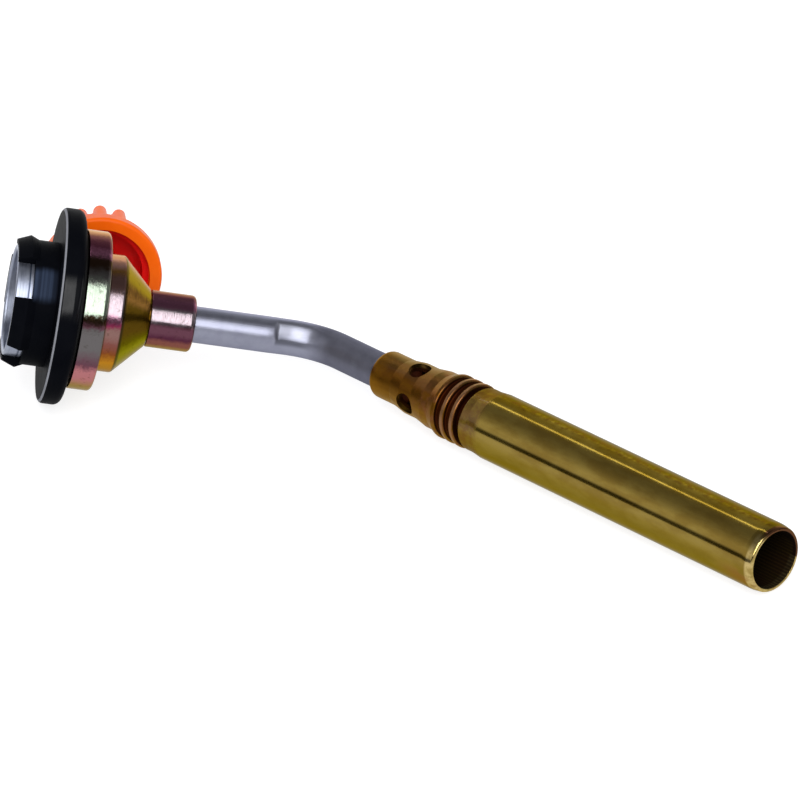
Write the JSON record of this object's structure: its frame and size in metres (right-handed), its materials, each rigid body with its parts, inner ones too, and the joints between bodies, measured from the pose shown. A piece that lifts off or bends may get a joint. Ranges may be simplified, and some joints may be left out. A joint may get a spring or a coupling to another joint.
{
  "type": "brazing torch",
  "caption": "Valve head with a round knob and a clawed cartridge collar, a bent feed tube, and a grooved brass burner with a long straight flame tube.",
  "frame": {"origin": "centre of the collar flange's face on the cartridge side, on the axis of the gas inlet", "axes": "+X along the valve body's axis away from the cartridge, +Y along the valve spindle towards the knob, +Z square to the plane in which the tube bends"},
  "size_m": [0.1611, 0.1503, 0.043],
  "materials": {
    "black_plastic": "black moulding with a soft gloss",
    "cup_metal": "pressed bright metal cup",
    "screw_steel": "zinc-plated steel",
    "nipple_brass": "turned brass",
    "spindle_brass": "turned brass",
    "sintered_bronze": "sintered bronze",
    "rubber": "black rubber",
    "plated_body": "brass with a yellow passivated plating that shows pink and olive tints",
    "plated_nut": "brass with the same passivated plating, purple-brown",
    "orange_plastic": "orange moulding",
    "tube_metal": "nickel-plated tube",
    "burner_brass": "brown, dull brass",
    "flame_tube_brass": "polished brass, olive-gold"
  },
  "bodies": {
    "torch": {"bayonet_collar": "black_plastic", "cartridge_cup": "cup_metal", "collar_screws": "screw_steel", "inlet_nipple": "nipple_brass", "inlet_seal": "rubber", "inlet_filter": "sintered_bronze", "body_gasket": "rubber", "valve_body": "plated_body", "gland_washer": "screw_steel", "gland_nut": "plated_nut", "tube_ferrule": "plated_nut", "tube_olive": "nipple_brass", "feed_tube": "tube_metal", "jet_holder": "nipple_brass", "jet_filter": "sintered_bronze", "gas_jet": "spindle_brass", "burner_body": "burner_brass", "flame_holder": "burner_brass", "flame_tube": "flame_tube_brass"},
    "spindle_seal": {"spindle_o_ring": "rubber"},
    "knob_set": {"valve_spindle": "spindle_brass", "knob": "orange_plastic", "knob_washer": "screw_steel", "knob_screw": "screw_steel"}
  },
  "joints": [
    {"name": "spindle_lift", "type": "slide", "parent": "torch", "child": "spindle_seal", "axis": [0, 1, 0], "range_m": [0, 0.00112]},
    {"name": "knob_turn", "type": "hinge", "parent": "spindle_seal", "child": "knob_set", "pos_m": [0.0125, 0, 0], "axis": [0, 1, 0], "range_deg": [0, 540]}
  ],
  "couplings": [
    {"joint": "spindle_lift", "follows": "knob_turn", "m_per_rad": 0.00011937}
  ]
}
